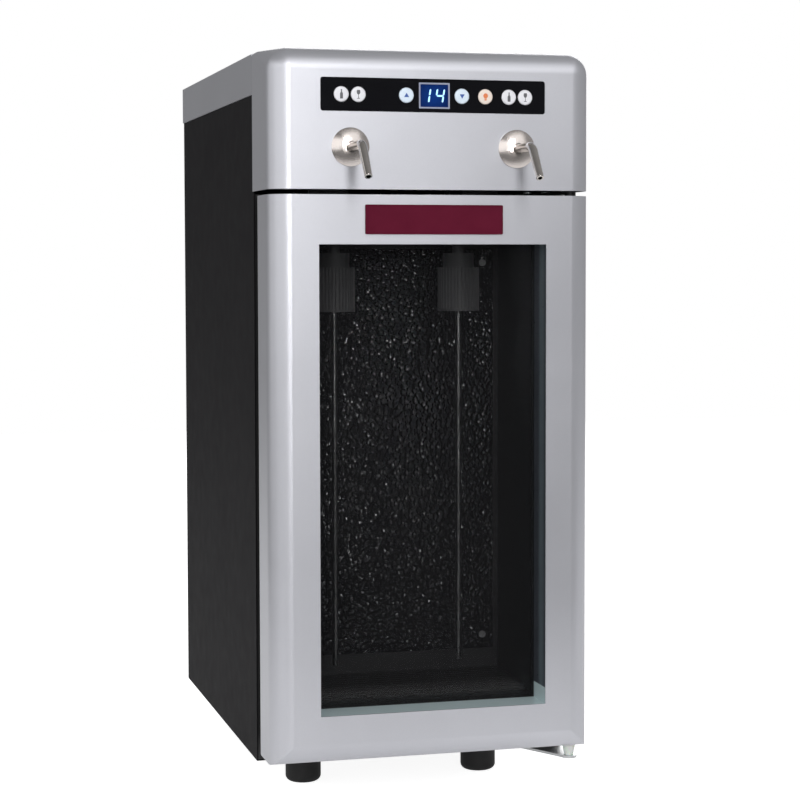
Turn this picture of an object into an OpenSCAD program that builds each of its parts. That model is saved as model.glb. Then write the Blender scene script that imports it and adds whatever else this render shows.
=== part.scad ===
// Table-top wine preservation dispenser with two chilled places.
// X to the right, Y to the back, Z up. The origin is on the floor, under the
// middle of the whole outline. Helpers take y from the case's front plane.

/* [Front] */
// Width over the head cover and the door
front_w = 262; // [250:1:300]
// Height of the head cover
head_h = 109; // [104:1:130]
// Gap between the head cover and the door
door_gap = 4; // [3.5:0.5:6]
// How far the head cover and the door stand in front of the case
front_d = 70; // [69:1:80]
// Radius of the rounded front edges
edge_r = 17; // [12:1:20]
// Depth over which the head cover's top side edges stay square
head_square_d = 16; // [4:1:24]
// Thickness of the silver sheet
skin_t = 1.2; // [1:0.1:1.8]

/* [Case] */
// Height from the case's underside to the top of the cover
case_h = 569; // [545:1:605]
// Depth of the case
case_d = 348; // [330:1:420]
// Thickness of the case sheet
sheet_t = 1.2; // [1:0.1:2]
// Depth of the silver band down the sides of the top cover
band_h = 32; // [20:1:50]
// Thickness of the top cover, which stands that far outside the case
cover_t = 1; // [0.8:0.1:1.6]
// Joint between the top cover and the head cover
joint_gap = 0.4; // [0.3:0.1:0.8]
// Length of a vent slot in the rear panel
vent_l = 90; // [60:1:110]
// Height of a vent slot
vent_h = 4; // [3:0.5:5]
// Pitch of the vent slots
vent_pitch = 9; // [8:0.5:12]
// Number of vent slots in each field
vent_n = 9; // [5:1:10]

/* [Feet] */
// Height of the feet
foot_h = 35; // [28:1:45]
// Diameter of the feet
foot_dia = 30; // [24:1:32]
// Distance between the left and right feet
foot_span = 155; // [120:1:165]
// Front feet's centre behind the case front
foot_front = 66; // [60:1:80]
// Rear feet's centre in front of the case's back
foot_rear = 60; // [30:1:80]
// Radius of the feet's lower edge
foot_round = 5; // [2:0.5:7]

/* [Bay] */
// Depth of the bay behind the case front
bay_d = 95; // [90:1:110]
// Foam at each side of the bay
side_foam = 22; // [18:0.5:26]
// Foam under the bay
floor_foam = 42; // [30:1:50]
// Foam above the bay
roof_foam = 23.5; // [18:0.5:30]
// Foam behind the bay
back_foam = 37; // [30:1:50]
// Thickness of the liner
liner_t = 1.8; // [1.2:0.1:3]
// Thickness of the floor mat
mat_t = 3; // [2:0.5:5]
// Distance between the two places
place_span = 108; // [100:1:112]
// Places' centre behind the case front
place_y = 45; // [42:1:52]
// Thickness of the embossed cold plate
plate_t = 1.2; // [0.8:0.1:2]
// Edge of the cold plate inside the bay's walls
plate_edge = 5; // [3:1:12]
// Height that the cold plate stands above the bay floor
plate_lift = 20; // [10:1:40]
// Height that the cold plate stops under the bay roof
plate_drop = 16; // [8:1:40]

/* [Dispensing heads] */
// Diameter of the ribbed cap
cap_dia = 35; // [33:0.5:38]
// Height of the ribbed cap
cap_h = 36.5; // [30:0.5:42]
// Bore under the cap
cap_bore = 29.6; // [28:0.1:30.4]
// Depth of the bore under the cap
cap_bore_h = 26; // [16:1:28]
// Number of ribs around a cap
rib_n = 36; // [24:2:40]
// Diameter of the shoulder above the cap
shoulder_dia = 26; // [20:1:30]
// Height of the shoulder
shoulder_h = 12; // [8:1:16]
// Diameter of the stem that plugs into the dock
stem_dia = 10; // [8:0.5:12]
// How far a head pulls down out of its dock
head_travel = 12; // [8:0.5:12]
// Diameter of the draw tube
draw_dia = 5; // [4:0.5:6]
// Height of the draw tube's end above the mat
draw_lift = 18; // [14:1:30]
// Diameter of the dock body
dock_dia = 24; // [20:1:28]
// Height of the dock body under the bay roof
dock_h = 14; // [13:0.5:16]

/* [Door] */
// Width of the silver frame around the window
rail_w = 38.5; // [34:0.5:42]
// Height of the door above the case bottom
door_lift = 10; // [8:1:14]
// Space between the silver frame's back edge and the case
door_back = 21; // [20:0.5:24]
// Radius of the door's lower front edge
door_low_r = 16; // [10:1:20]
// Depth of the window opening in front of the glass
reveal_d = 29; // [26:1:30]
// Thickness of a pane
pane_t = 4; // [3:0.5:5]
// Width of the space between the panes
pane_gap = 8; // [6:1:9]
// How far the panes reach behind the frame
pane_edge = 8; // [5:0.5:9]
// Thickness of the trim that lines the window
trim_t = 2.4; // [1.5:0.1:4]
// Depth of the door seal
seal_d = 12.5; // [8:0.5:14]
// Width of the door seal
seal_w = 14; // [10:1:16]
// Width of the badge plate
badge_w = 112; // [60:1:140]
// Height of the badge plate
badge_h = 23; // [16:1:28]

/* [Hinge] */
// Hinge axis in from the door's right side
pin_in = 10; // [9:0.5:12]
// Hinge axis behind the door's front face
pin_back = 24; // [22:0.5:28]
// Diameter of the hinge pins
pin_dia = 5; // [4:0.5:6]
// Thickness of the lower hinge plate
hinge_t = 2; // [1.5:0.1:3]
// Radius of the hinge plates' front end
hinge_end_r = 6.5; // [6:0.5:10]
// Diameter of the nylon bushing under the door
bushing_dia = 11.5; // [9:0.5:12.5]
// Diameter of the bushing where it stands on the hinge plate
bushing_low_dia = 7; // [6.5:0.5:9]

/* [Control panel] */
// Width of the control fascia
panel_w = 182; // [176:1:200]
// Height of the control fascia
panel_h = 26; // [24:1:30]
// Centre of the control fascia above the head cover's lower edge
panel_up = 73; // [66:1:78]
// Diameter of the buttons
button_dia = 12; // [10:0.5:12.5]
// Travel of the buttons
button_travel = 0.8; // [0.4:0.1:1]
// Outer dispensing buttons from the middle
outer_button_x = 74.5; // [74:0.5:78]
// Inner dispensing buttons from the middle
inner_button_x = 61; // [60:0.5:61]
// Temperature buttons from the middle
temp_button_x = 22.5; // [20:0.5:26]
// Light button from the middle
light_button_x = 41.7; // [40:0.5:46]
// Width of the display
display_w = 25; // [20:1:26]
// Height of the display
display_h = 20; // [16:1:21]

/* [Spouts] */
// Distance between the two spouts
spout_span = 135; // [128:1:140]
// Spouts' height above the head cover's lower edge
spout_up = 32.5; // [30:0.5:38]
// Diameter of the rosettes
rosette_dia = 30; // [24:1:34]
// Height of a rosette's dome
rosette_dome = 5; // [3:0.5:7]
// Diameter of a spout at its bend
spout_dia = 7.2; // [6.2:0.1:7.6]
// Diameter of a spout at its tip
spout_tip_dia = 6; // [5.2:0.1:6.2]
// Bore of a spout
spout_bore = 3.6; // [3:0.1:4]
// Distance from the head cover to the spout's corner
spout_out = 38; // [28:0.5:44]
// Length from the corner to the tip
spout_len = 32; // [28:0.5:36]
// Angle that a spout turns down
spout_angle = 52; // [45:1:60]
// Radius of a spout's bend
spout_bend = 10; // [8:0.5:14]

/* [Cooling] */
// Width and height of the cold block
block_w = 50; // [44:1:56]
// Height of the cooling stack above the case bottom
stack_up = 265; // [220:1:300]
// Width of the thermoelectric module
module_w = 40; // [30:1:44]
// Thickness of the thermoelectric module
module_t = 4; // [3:0.5:5]
// Width of the hot heat sink
sink_w = 120; // [100:1:140]
// Height of the hot heat sink
sink_h = 100; // [96:1:120]
// Thickness of the heat sink's base
sink_base_t = 8; // [5:1:12]
// Length of the fins
fin_l = 40; // [25:1:50]
// Number of fins
fin_n = 15; // [10:1:20]
// Size of the fan frame
fan_w = 92; // [80:1:96]
// Depth of the fan
fan_d = 25; // [20:1:30]
// Diameter of the fan's hub
hub_dia = 36; // [30:1:40]

/* [Hidden] */
$fn = 64;
hull_fn = 40;

// How far a cut runs past the face that it opens
cut = 1;
// Radial clearance of a shaft that turns or slides in its bore
run_gap = 0.05;
// Clearance between pieces that move past each other
move_gap = 0.3;

// Heights, from the floor up
case_low_z = foot_h;
top_z = case_low_z + case_h;
head_low_z = top_z - head_h;
door_low_z = case_low_z + door_lift;
door_top_z = head_low_z - door_gap;
case_top_z = top_z - cover_t;
case_floor_z = case_low_z + sheet_t;
deck_t = 1.5;
deck_top_z = door_top_z + door_gap / 2;
deck_low_z = deck_top_z - deck_t;
bay_floor_z = case_floor_z + floor_foam + liner_t - 0.2;
bay_roof_z = deck_low_z - roof_foam - liner_t;
mat_top_z = bay_floor_z + mat_t;
panel_z = head_low_z + panel_up;
spout_z = head_low_z + spout_up;
stack_z = case_low_z + stack_up;

// Widths, from the middle
half_front = front_w / 2;
half_case = half_front - cover_t;
half_inner = half_case - sheet_t;
half_bay = half_inner - side_foam - liner_t;
half_window = half_front - rail_w;
place_x = place_span / 2;
spout_x = spout_span / 2;

// Depths, from the case's front plane
front_y = -front_d;
door_back_y = -door_back;
window_low_z = door_low_z + rail_w;
window_top_z = door_top_z - rail_w;
flange_t = 2;
foam_back_y = bay_d + liner_t + back_foam;
sink_y = foam_back_y;
fin_y = sink_y + sink_base_t;
fan_y = fin_y + fin_l;
rear_inner_y = case_d - sheet_t;

// Spout: the rosette, the bend's tangent length and the tip's place
rosette_rim = 1;
bend_run = spout_bend * tan(spout_angle / 2);
spout_lip = (spout_tip_dia - spout_bore) / 4;
spout_reach = spout_out + spout_len * cos(spout_angle) + (spout_tip_dia / 2 - spout_lip) * sin(spout_angle);

// Gas inlet behind the rear panel
inlet_flange_t = 4;
inlet_len = 12;
inlet_dia = 8;
rear_reach = inlet_flange_t + inlet_len;

total_d = spout_reach + front_d + case_d + rear_reach;
case_front_y = -total_d / 2 + spout_reach + front_d;

// Hinge axis
pin_x = half_front - pin_in;
pin_y = front_y + pin_back;
pin_r = pin_dia / 2;
pin_in_door = 18;
upper_hinge_t = 1.8;
hinge_inset = 1.6;
lower_hinge_w = 43;
lower_hinge_d = 36;
upper_hinge_w = 30;
upper_hinge_d = 24;
hinge_screw_r = 2;

// Feet
foot_screw_r = 2.5;
foot_recess_r = 5.5;
foot_recess_h = 12;
foot_nut_r = 4.5;
foot_nut_t = 4;
foot_points = [for (sx = [-1, 1], y = [foot_front, case_d - foot_rear])
    [sx * foot_span / 2, y]];

// Control panel, from the fascia back to the board
fascia_proud = 0.3;
fascia_flange = 2;
fascia_back_y = front_y + skin_t + 1.4;
fascia_corner_r = 2;
button_proud = 0.5;
button_gap = 0.15;
button_lip = 0.5;
button_lip_t = 1;
button_stem_r = 2.5;
button_stem_l = 4;
button_front_y = front_y - fascia_proud - button_proud;
button_lip_y = fascia_back_y + move_gap;
button_end_y = button_lip_y + button_lip_t + button_stem_l;
switch_gap = button_travel + 0.1;
plunger_l = 1;
plunger_r = 1.7;
switch_w = 6;
switch_t = 3.4;
board_y = button_end_y + switch_gap + plunger_l + switch_t;
board_t = 1.6;
board_w = panel_w - 10;
board_h = 22;
post_r = 2;
post_x = [
    -outer_button_x - 8.5, -(inner_button_x + temp_button_x) / 2,
    (light_button_x + inner_button_x) / 2, outer_button_x + 8.5
];
display_rim = 1.2;
button_x = [
    -outer_button_x, -inner_button_x, -temp_button_x, temp_button_x,
    light_button_x, inner_button_x, outer_button_x
];

// Dispensing heads
cap_wall_h = cap_h - cap_bore_h;
dock_flange_r = 15;
dock_flange_t = 4;
dock_stub_r = 7;
gas_stub_r = 3.5;
gas_stub_x = 9;
gas_stub_h = 7;
dock_low_z = bay_roof_z - dock_h;
stem_gap = 0.5;
stem_top_z = dock_low_z + head_travel - stem_gap;
shoulder_top_z = dock_low_z - 6;
cap_top_z = shoulder_top_z - shoulder_h;
cap_low_z = cap_top_z - cap_h;
seal_t = 3;
draw_low_z = mat_top_z + draw_lift;
draw_bore = draw_dia - 2;

// Valves, tubes and manifold on the deck
valve_w = 32;
valve_h = 46;
valve_front = 20;
valve_back = 62;
valve_in_x = place_x - 5;
coil_r = 13;
coil_h = 24;
wine_tube_r = 4;
gas_tube_r = 3;
stub_len = 18;
spout_stub_r = 4.5;
slot_row = 60;
slot_pitch = 12;
spout_nut_r = 8;
spout_nut_t = 5;
manifold_w = 40;
manifold_d = 40;
manifold_h = 30;
manifold_x = place_x + 26;
inlet_z = deck_top_z + manifold_h / 2;
manifold_back_y = rear_inner_y - 16;
gas_port_gap = 10;
gas_port_up = 15;

// Mains inlet and power supply
inlet_in = 48;
inlet_x = -half_inner + inlet_in;
mains_up = 90;
mains_z = case_floor_z + mains_up;
mains_w = 28;
mains_h = 20;
mains_flange_w = 48;
mains_flange_h = 24;
mains_flange_t = 2.5;
mains_d = 26;
socket_wall = 2;
socket_d = 16;
supply_w = 98;
supply_d = 129;
supply_h = 38;

// Colours as the photograph shows them
silver = [0.72, 0.73, 0.75];
dark_metal = [0.15, 0.15, 0.16];
black_plastic = [0.08, 0.08, 0.09];
nickel = [0.66, 0.62, 0.59];
steel = [0.62, 0.64, 0.66];
foam = [0.87, 0.83, 0.70];
board_green = [0.10, 0.35, 0.22];

// ---------- helpers ----------

// A box between two corners, y from the case's front plane
module block(low, high) {
    translate([low[0], case_front_y + low[1], low[2]]) cube(high - low);
}

// An upright cylinder from z0 to z1
module rod_z(x, y, z0, z1, r) {
    translate([x, case_front_y + y, z0]) cylinder(h = z1 - z0, r = r);
}

// A cylinder that lies along Y from y0 to y1
module rod_y(x, z, y0, y1, r) {
    translate([x, case_front_y + y0, z]) rotate([-90, 0, 0]) cylinder(h = y1 - y0, r = r);
}

// An upright rectangular ring between two outlines, each [half width, low z, high z]
module ring(outer, inner, y0, y1) {
    difference() {
        block([-outer[0], y0, outer[1]], [outer[0], y1, outer[2]]);
        block([-inner[0], y0 - cut, inner[1]], [inner[0], y1 + cut, inner[2]]);
    }
}

// A rectangle with round corners, centred
module rounded_rect(w, h, r) {
    square([w - 2 * r, h], center = true);
    square([w, h - 2 * r], center = true);
    for (sx = [-1, 1], sy = [-1, 1])
        translate([sx * (w / 2 - r), sy * (h / 2 - r)]) circle(r);
}

// A round-cornered plate that faces the front, between y0 and y1
module face_plate(x, z, w, h, r, y0, y1) {
    translate([x, case_front_y + y1, z]) rotate([90, 0, 0])
        linear_extrude(y1 - y0) rounded_rect(w, h, r);
}

// A tube along a list of points, with round elbows
module tube_run(points, r) {
    for (i = [0 : len(points) - 2]) {
        step = points[i + 1] - points[i];
        flat = norm([step[0], step[1]]);
        translate([points[i][0], case_front_y + points[i][1], points[i][2]])
            rotate([0, atan2(flat, step[2]), atan2(step[1], step[0])])
            cylinder(h = norm(step), r = r);
    }
    for (i = [1 : len(points) - 2])
        translate([points[i][0], case_front_y + points[i][1], points[i][2]]) sphere(r);
}

// ---------- case ----------

module outer_case() color(dark_metal) difference() {
    block([-half_case, 0, case_low_z], [half_case, case_d, case_top_z]);
    block([-half_inner, -cut, case_floor_z], [half_inner, case_d + cut, case_top_z + cut]);
    for (p = foot_points)
        rod_z(p[0], p[1], case_low_z - cut, case_floor_z + cut, foot_screw_r);
    for (p = lower_hinge_screws)
        rod_z(p[0], p[1], case_low_z - cut, case_floor_z + cut, hinge_screw_r);
}

module top_cover() color(silver) difference() {
    block([-half_front, 0, top_z - band_h], [half_front, case_d, top_z]);
    block([-half_case, -cut, top_z - band_h - cut], [half_case, case_d + cut, case_top_z]);
}

vent_low_z = case_floor_z + 24;
vent_high_z = stack_z - vent_n * vent_pitch / 2;
module vent_field(x, z) {
    for (i = [0 : vent_n - 1])
        face_plate(x, z + i * vent_pitch + vent_h / 2, vent_l, vent_h, vent_h / 2 - 0.01,
            rear_inner_y - cut, case_d + cut);
}

panel_screw_edge = 14;
panel_screw_over = 60;
panel_screw_points = [for (sx = [-1, 1],
    z = [case_floor_z + panel_screw_edge, stack_z + panel_screw_over, case_top_z - panel_screw_edge])
    [sx * (half_inner - 10), z]];
module rear_panel() color(dark_metal) difference() {
    block([-half_inner, rear_inner_y, case_floor_z], [half_inner, case_d, case_top_z]);
    vent_field(0, vent_high_z);
    vent_field(half_inner - vent_l / 2 - 20, vent_low_z);
    block([inlet_x - mains_w / 2, rear_inner_y - cut, mains_z - mains_h / 2],
        [inlet_x + mains_w / 2, case_d + cut, mains_z + mains_h / 2]);
    rod_y(manifold_x, inlet_z, rear_inner_y - cut, case_d + cut, inlet_dia / 2);
}

module top_deck() color(steel) difference() {
    block([-half_inner, flange_t, deck_low_z], [half_inner, rear_inner_y, deck_top_z]);
    for (sx = [-1, 1]) dock_stubs(sx, deck_low_z - cut, deck_top_z + cut);
}

// ---------- feet and hinges ----------

module foot_profile() {
    square([foot_dia / 2 - foot_round, foot_h]);
    translate([0, foot_round]) square([foot_dia / 2, foot_h - foot_round]);
    translate([foot_dia / 2 - foot_round, foot_round]) circle(foot_round);
}

module feet() color(black_plastic)
    for (p = foot_points) difference() {
        translate([p[0], case_front_y + p[1], 0]) rotate_extrude() intersection() {
            foot_profile();
            square([foot_dia, foot_h]);
        }
        rod_z(p[0], p[1], -cut, foot_recess_h, foot_recess_r);
        rod_z(p[0], p[1], -cut, foot_h + cut, foot_screw_r);
    }

hinge_right_x = half_case - hinge_inset;
lower_hinge_left_x = hinge_right_x - lower_hinge_w;
upper_hinge_left_x = hinge_right_x - upper_hinge_w;
hinge_root_y = 4;
lower_hinge_screws = [for (x = [lower_hinge_left_x + 10, hinge_right_x - 10])
    [x, hinge_root_y + lower_hinge_d / 2]];
upper_hinge_screws = [for (x = [upper_hinge_left_x + 7, hinge_right_x - 7])
    [x, hinge_root_y + upper_hinge_d / 2]];

// A plate that runs forward from under the case and ends round the hinge axis
module hinge_plate(left_x, back_y, z0, z1, end_r, screws) difference() {
    union() {
        block([left_x, hinge_root_y, z0], [hinge_right_x, back_y, z1]);
        translate([0, case_front_y, z0]) linear_extrude(z1 - z0)
            polygon([[left_x, hinge_root_y + 0.5], [hinge_right_x, hinge_root_y + 0.5],
                [pin_x + (end_r - 0.6) * cos(12), pin_y + (end_r - 0.6) * sin(12)],
                [pin_x - (end_r - 0.6) * cos(27), pin_y - (end_r - 0.6) * sin(27)]]);
        rod_z(pin_x, pin_y, z0, z1, end_r);
    }
    for (p = screws) rod_z(p[0], p[1], z0 - cut, z1 + cut, hinge_screw_r);
}

module lower_hinge() color(steel) {
    hinge_plate(lower_hinge_left_x, hinge_root_y + lower_hinge_d,
        case_low_z - hinge_t, case_low_z, hinge_end_r, lower_hinge_screws);
    rod_z(pin_x, pin_y, case_low_z - hinge_t / 2, door_low_z + pin_in_door, pin_r);
}

module upper_hinge() color(black_plastic) {
    hinge_plate(upper_hinge_left_x, hinge_root_y + upper_hinge_d, deck_top_z,
        deck_top_z + upper_hinge_t, pin_r + 2, upper_hinge_screws);
    rod_z(pin_x, pin_y, door_top_z + move_gap, deck_top_z + upper_hinge_t / 2, pin_r + 2);
    rod_z(pin_x, pin_y, door_top_z - pin_in_door, deck_top_z + upper_hinge_t / 2, pin_r);
}

module hinge_bushing() color([0.85, 0.87, 0.84]) difference() {
    translate([pin_x, case_front_y + pin_y, case_low_z])
        cylinder(h = door_low_z - move_gap - case_low_z, r1 = bushing_low_dia / 2, r2 = bushing_dia / 2);
    rod_z(pin_x, pin_y, case_low_z - cut, door_low_z + cut, pin_r);
}

// ---------- bay ----------

module dock_stubs(side, z0, z1) {
    rod_z(side * place_x, place_y, z0, z1, dock_stub_r);
    rod_z(side * (place_x - gas_stub_x), place_y, z0, z1, gas_stub_r);
}

module cold_passage(y0, y1)
    block([-block_w / 2, y0, stack_z - block_w / 2], [block_w / 2, y1, stack_z + block_w / 2]);

module liner_box(extra, y0, y1)
    block([-half_bay - extra, y0, bay_floor_z - extra], [half_bay + extra, y1, bay_roof_z + extra]);

// The plate bears on the cold block, this far off the liner's back
plate_seat = 0.1;
module compartment_liner() color(black_plastic) difference() {
    union() {
        liner_box(liner_t, 0, bay_d + liner_t);
        block([-half_inner, 0, case_floor_z], [half_inner, flange_t, deck_top_z]);
    }
    liner_box(0, -cut, bay_d + plate_seat);
    cold_passage(bay_d - cut, bay_d + liner_t + cut);
    for (sx = [-1, 1]) dock_stubs(sx, bay_roof_z - cut, bay_roof_z + liner_t + cut);
}

module insulation() color(foam) difference() {
    block([-half_inner, flange_t, case_floor_z], [half_inner, foam_back_y, deck_low_z]);
    liner_box(liner_t, flange_t - cut, bay_d + liner_t);
    cold_passage(bay_d, foam_back_y + cut);
    for (sx = [-1, 1]) dock_stubs(sx, bay_roof_z, deck_low_z + cut);
    for (sx = [-1, 1])
        rod_z(sx * foot_span / 2, foot_front, case_floor_z - cut, case_floor_z + foot_nut_t + 0.5, foot_nut_r + 0.5);
}

mat_edge = 1;
mat_groove_pitch = 8;
mat_groove = 2;
module floor_mat() color(black_plastic) difference() {
    block([-half_bay + mat_edge, mat_edge + 3, bay_floor_z],
        [half_bay - mat_edge, bay_d - plate_t - mat_edge, mat_top_z]);
    for (y = [10 : mat_groove_pitch : bay_d - 10])
        block([-half_bay + 6, y, mat_top_z - 1], [half_bay - 6, y + mat_groove, mat_top_z + cut]);
}

plate_half = half_bay - plate_edge;
plate_low_z = bay_floor_z + plate_lift;
plate_high_z = bay_roof_z - plate_drop;
plate_screw_points = [for (sx = [-1, 1], z = [plate_low_z + 12, plate_high_z - 12])
    [sx * (plate_half - 10), z]];
module cold_plate() color([0.2, 0.2, 0.22])
    block([-plate_half, bay_d - plate_t, plate_low_z], [plate_half, bay_d, plate_high_z]);

module cold_block() color(steel) cold_passage(bay_d, foam_back_y - module_t);

module cooling_module() color("white")
    block([-module_w / 2, foam_back_y - module_t, stack_z - module_w / 2],
        [module_w / 2, foam_back_y, stack_z + module_w / 2]);

fin_t = 1.6;
module hot_sink() color(steel) {
    block([-sink_w / 2, sink_y, stack_z - sink_h / 2], [sink_w / 2, fin_y, stack_z + sink_h / 2]);
    for (i = [0 : fin_n - 1]) {
        x = -sink_w / 2 + i * (sink_w - fin_t) / (fin_n - 1);
        block([x, fin_y - 0.5, stack_z - sink_h / 2], [x + fin_t, fan_y, stack_z + sink_h / 2]);
    }
}

fan_bore_r = fan_w / 2 - 2;
fan_wall = 2.5;
shaft_r = 2;
hub_gap = 2;
rotor_front_y = fan_y + hub_gap;
rotor_back_y = fan_y + fan_d - 6;
blade_n = 7;
blade_t = 1.6;
blade_tilt = 38;
module fan_frame() color(black_plastic) {
    difference() {
        face_plate(0, stack_z, fan_w, fan_w, 4, fan_y, fan_y + fan_d);
        rod_y(0, stack_z, fan_y - cut, fan_y + fan_d + cut, fan_bore_r);
        for (sx = [-1, 1], sz = [-1, 1])
            rod_y(sx * (fan_w / 2 - 5), stack_z + sz * (fan_w / 2 - 5), fan_y - cut,
                fan_y + fan_d + cut, 2.1);
    }
    rod_y(0, stack_z, rotor_back_y + 1, fan_y + fan_d, hub_dia / 2);
    rod_y(0, stack_z, rotor_front_y + 3, rotor_back_y + 2, shaft_r);
    for (a = [45 : 90 : 315])
        translate([0, case_front_y + fan_y + fan_d - 3, stack_z]) rotate([0, a, 0])
            translate([hub_dia / 2 - 1, -fan_wall / 2, -2]) cube([fan_bore_r - hub_dia / 2 + 2, fan_wall, 4]);
}

module fan_rotor() color([0.12, 0.12, 0.13]) difference() {
    union() {
        rod_y(0, stack_z, rotor_front_y, rotor_back_y, hub_dia / 2);
        for (i = [0 : blade_n - 1])
            translate([0, case_front_y + (rotor_front_y + rotor_back_y) / 2, stack_z])
                rotate([0, i * 360 / blade_n, 0]) translate([hub_dia / 2 - 1.5, 0, 0])
                rotate([blade_tilt, 0, 0])
                fan_blade(fan_bore_r - hub_dia / 2 - 1);
    }
    rod_y(0, stack_z, rotor_front_y + 2, rotor_back_y + cut, shaft_r + run_gap);
}

blade_chord = 18;
module fan_blade(l)
    translate([0, -blade_t / 2, -blade_chord / 2]) cube([l, blade_t, blade_chord]);

light_edge = 35;
light_front = 5;
light_d = 10;
light_h = 6;
lens_inset = 2;
light_half = half_bay - light_edge;
module light_strip() color([0.92, 0.93, 0.9]) {
    block([-light_half, light_front, bay_roof_z - light_h + lens_inset],
        [light_half, light_front + light_d, bay_roof_z]);
    block([-light_half + lens_inset, light_front + lens_inset, bay_roof_z - light_h],
        [light_half - lens_inset, light_front + light_d - lens_inset, bay_roof_z - light_h + lens_inset + 0.5]);
}

// ---------- head cover and control panel ----------

// The head cover's outer form, drawn in by t on every closed side
module head_form(t, low_z, back_y) {
    r = edge_r - t;
    y0 = front_y + edge_r;
    hull() {
        block([-half_front + t, -head_square_d, low_z], [half_front - t, back_y, top_z - t]);
        for (sx = [-1, 1]) translate([sx * (half_front - edge_r), case_front_y + y0, 0]) {
            translate([0, 0, low_z]) cylinder(h = top_z - edge_r - low_z, r = r, $fn = hull_fn);
            translate([0, 0, top_z - edge_r]) sphere(r, $fn = hull_fn);
        }
    }
}

module head_cover() color(silver) difference() {
    head_form(0, head_low_z, -joint_gap);
    head_form(skin_t, head_low_z - cut, cut);
    face_plate(0, panel_z, panel_w, panel_h, fascia_corner_r, front_y - cut, front_y + skin_t + cut);
    for (sx = [-1, 1])
        rod_y(sx * spout_x, spout_z, front_y - cut, front_y + skin_t + cut, spout_stub_r);
}

module head_floor() color(black_plastic) difference() {
    union() {
        block([-half_front + edge_r, front_y + skin_t, head_low_z + 2],
            [half_front - edge_r, -joint_gap, head_low_z + 3.5]);
        block([-half_front + skin_t, front_y + edge_r, head_low_z + 2],
            [half_front - skin_t, -joint_gap, head_low_z + 3.5]);
    }
    for (x = [-slot_row : slot_pitch : slot_row])
        block([x - slot_pitch / 3, front_y + 24, head_low_z], [x + slot_pitch / 3, front_y + 27, head_low_z + 5]);
}

module control_fascia() color(black_plastic) {
    difference() {
        union() {
            face_plate(0, panel_z, panel_w - 0.2, panel_h - 0.2, fascia_corner_r,
                front_y - fascia_proud, fascia_back_y);
            face_plate(0, panel_z, panel_w + 2 * fascia_flange, panel_h + 2 * fascia_flange,
                fascia_corner_r, front_y + skin_t, fascia_back_y);
        }
        for (x = button_x)
            rod_y(x, panel_z, front_y - cut, fascia_back_y + cut, button_dia / 2 + button_gap);
        face_plate(0, panel_z, display_w, display_h, 0.5, front_y - cut, fascia_back_y + cut);
    }
    for (x = post_x, sz = [-1, 1])
        rod_y(x, panel_z + sz * 9, fascia_back_y - 0.5, board_y, post_r);
}

module display_frame() color([0.75, 0.77, 0.8]) difference() {
    face_plate(0, panel_z, display_w, display_h, 0.5, front_y - fascia_proud - 0.2, fascia_back_y);
    face_plate(0, panel_z, display_w - 2 * display_rim, display_h - 2 * display_rim, 0.4,
        front_y - cut, fascia_back_y + cut);
}

module display_lens() color([0.05, 0.16, 0.45])
    face_plate(0, panel_z, display_w - 2 * display_rim, display_h - 2 * display_rim, 0.4,
        front_y - 0.1, fascia_back_y);

module control_board() color(board_green) {
    block([-board_w / 2, board_y, panel_z - board_h / 2], [board_w / 2, board_y + board_t, panel_z + board_h / 2]);
    for (x = button_x) {
        block([x - switch_w / 2, board_y - switch_t, panel_z - switch_w / 2],
            [x + switch_w / 2, board_y + 0.2, panel_z + switch_w / 2]);
        rod_y(x, panel_z, board_y - switch_t - plunger_l, board_y, plunger_r);
    }
    block([-display_w / 2 + 2, fascia_back_y, panel_z - display_h / 2 + 2],
        [display_w / 2 - 2, board_y + 0.2, panel_z + display_h / 2 - 2]);
}

module push_button(x) color("white") {
    rod_y(x, panel_z, button_front_y, button_lip_y + button_lip_t, button_dia / 2);
    rod_y(x, panel_z, button_lip_y, button_lip_y + button_lip_t, button_dia / 2 + button_lip);
    rod_y(x, panel_z, button_lip_y, button_end_y, button_stem_r);
}

// ---------- spouts ----------

module rosette(x) color(nickel) {
    dome_r = (pow(rosette_dia / 2, 2) + pow(rosette_dome, 2)) / (2 * rosette_dome);
    difference() {
        union() {
            rod_y(x, spout_z, front_y - rosette_rim, front_y, rosette_dia / 2);
            intersection() {
                translate([x, case_front_y + front_y - rosette_rim - rosette_dome + dome_r, spout_z])
                    sphere(dome_r, $fn = 96);
                rod_y(x, spout_z, front_y - rosette_rim - rosette_dome - cut,
                    front_y - rosette_rim / 2, rosette_dia / 2);
            }
        }
        rod_y(x, spout_z, front_y - 2 * rosette_dome - cut, front_y + cut, spout_stub_r);
    }
}

// What follows a spout's straight run: forward is +X and down is -Y
module spout_arm(x) {
    translate([x, case_front_y + front_y - spout_out + bend_run, spout_z]) rotate([90, 0, -90]) children();
}

module spout_elbow(r)
    translate([0, -spout_bend, 0]) rotate([0, 0, 90 - spout_angle])
        rotate_extrude(angle = spout_angle) translate([spout_bend, 0]) circle(r);

module spout_slope()
    translate([bend_run * (1 + cos(spout_angle)), -bend_run * sin(spout_angle), 0])
        rotate([0, 0, -spout_angle]) rotate([0, 90, 0]) children();

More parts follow.
